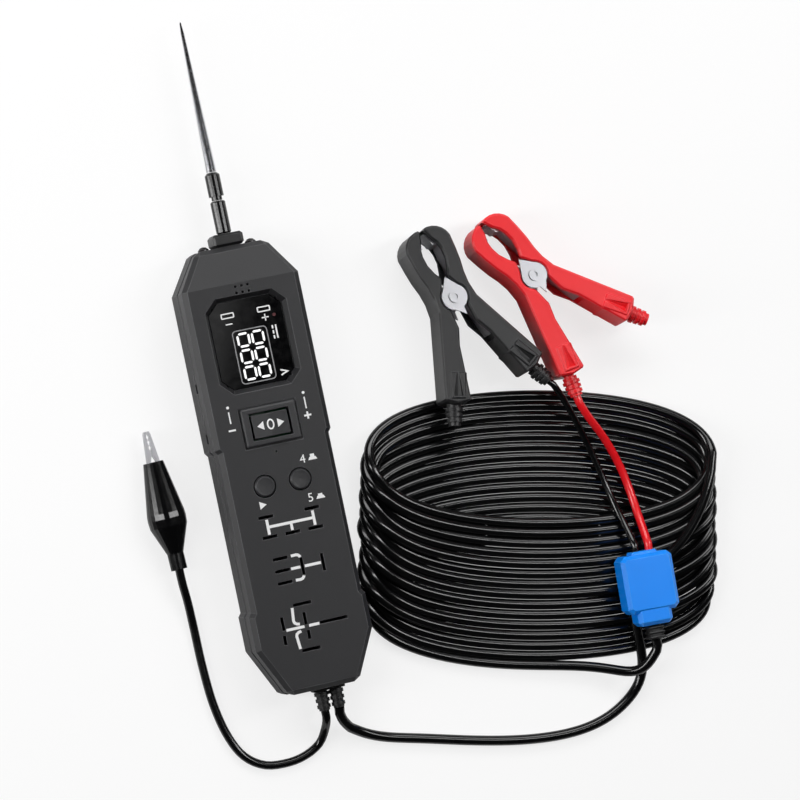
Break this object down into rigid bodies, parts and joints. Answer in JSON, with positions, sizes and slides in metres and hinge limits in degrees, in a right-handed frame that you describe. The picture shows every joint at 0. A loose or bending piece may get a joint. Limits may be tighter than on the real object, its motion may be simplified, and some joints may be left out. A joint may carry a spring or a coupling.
{
  "type": "relay tester",
  "caption": "Hand-held relay and circuit probe with needle, display, rocker, buttons, relay slots, earth clip lead and coiled supply lead with battery clamps.",
  "frame": {"origin": "centre of the tester's flat back face, which lies on the surface", "axes": "+Y towards the needle, +Z out of the face with the display, +X to the right seen from above"},
  "size_m": [0.2435, 0.3235, 0.0263],
  "materials": {
    "housing": "fine matt texture",
    "keys": "smooth matt",
    "window": "gloss smoked",
    "metal": "bright plated",
    "board": "solder mask",
    "inside": "plain",
    "soft_black": "satin",
    "cable": "glossy jacket",
    "red_cable": "glossy jacket",
    "red": "satin moulded",
    "black": "satin moulded",
    "blue": "satin moulded",
    "lamp": "clear dark"
  },
  "bodies": {
    "root": {"front_shell": "housing", "rear_shell": "housing", "probe_nose": "housing", "rocker_bezel": "keys", "display_window": "window", "probe_needle": "metal", "black_fixed_plate": "metal", "black_rivet": "metal", "black_spring": "metal", "red_fixed_plate": "metal", "red_rivet": "metal", "red_spring": "metal", "clip_fixed_jaw": "metal", "clip_pin": "metal", "clip_spring": "metal", "case_screw_1": "metal", "case_screw_2": "metal", "case_screw_3": "metal", "case_screw_4": "metal", "main_board": "board", "display_module": "inside", "rocker_switch": "inside", "test_switch": "inside", "pin_switch": "inside", "buzzer": "inside", "relay_socket_upper": "inside", "relay_socket_middle": "inside", "relay_socket_lower": "inside", "sleeve_lower": "soft_black", "sleeve_upper": "soft_black", "twin_relief": "soft_black", "clip_boot": "soft_black", "box_collar": "soft_black", "main_lead_run": "cable", "main_lead_end": "cable", "main_lead_coil": "cable", "clip_lead": "cable", "black_lead": "cable", "red_lead": "red_cable", "red_fixed_arm": "red", "red_relief": "red", "black_fixed_arm": "black", "black_relief": "black", "fuse_box": "blue", "lamp_left": "lamp", "lamp_right": "lamp"},
    "rocker_body": {"rocker": "keys"},
    "test_button_body": {"test_button": "keys"},
    "pin_button_body": {"pin_button": "keys"},
    "clip_jaw_body": {"clip_moving_jaw": "metal"},
    "black_arm_body": {"black_moving_arm": "black", "black_moving_plate": "metal"},
    "red_arm_body": {"red_moving_arm": "red", "red_moving_plate": "metal"}
  },
  "joints": [
    {"name": "rocker_tip", "type": "hinge", "parent": "root", "child": "rocker_body", "pos_m": [0, 0.0175, 0.0226], "axis": [0, 1, 0], "range_deg": [-6, 6], "stiffness_Nm_per_rad": 0.02},
    {"name": "test_press", "type": "slide", "parent": "root", "child": "test_button_body", "axis": [0, 0, -1], "range_m": [0, 0.0009], "stiffness_N_per_m": 400},
    {"name": "pin_press", "type": "slide", "parent": "root", "child": "pin_button_body", "axis": [0, 0, -1], "range_m": [0, 0.0009], "stiffness_N_per_m": 400},
    {"name": "clip_open", "type": "hinge", "parent": "root", "child": "clip_jaw_body", "pos_m": [-0.0472, 0.008, 0.0072], "axis": [0, 0, -1], "range_deg": [0, 8], "stiffness_Nm_per_rad": 0.05},
    {"name": "black_open", "type": "hinge", "parent": "root", "child": "black_arm_body", "pos_m": [0.088, 0.0526, 0.01249], "axis": [-0.0211, 0.0846, 0.9962], "range_deg": [0, 28], "stiffness_Nm_per_rad": 0.3},
    {"name": "red_open", "type": "hinge", "parent": "root", "child": "red_arm_body", "pos_m": [0.1238, 0.0551, 0.01249], "axis": [0.0487, -0.0723, -0.9962], "range_deg": [0, 28], "stiffness_Nm_per_rad": 0.3}
  ]
}
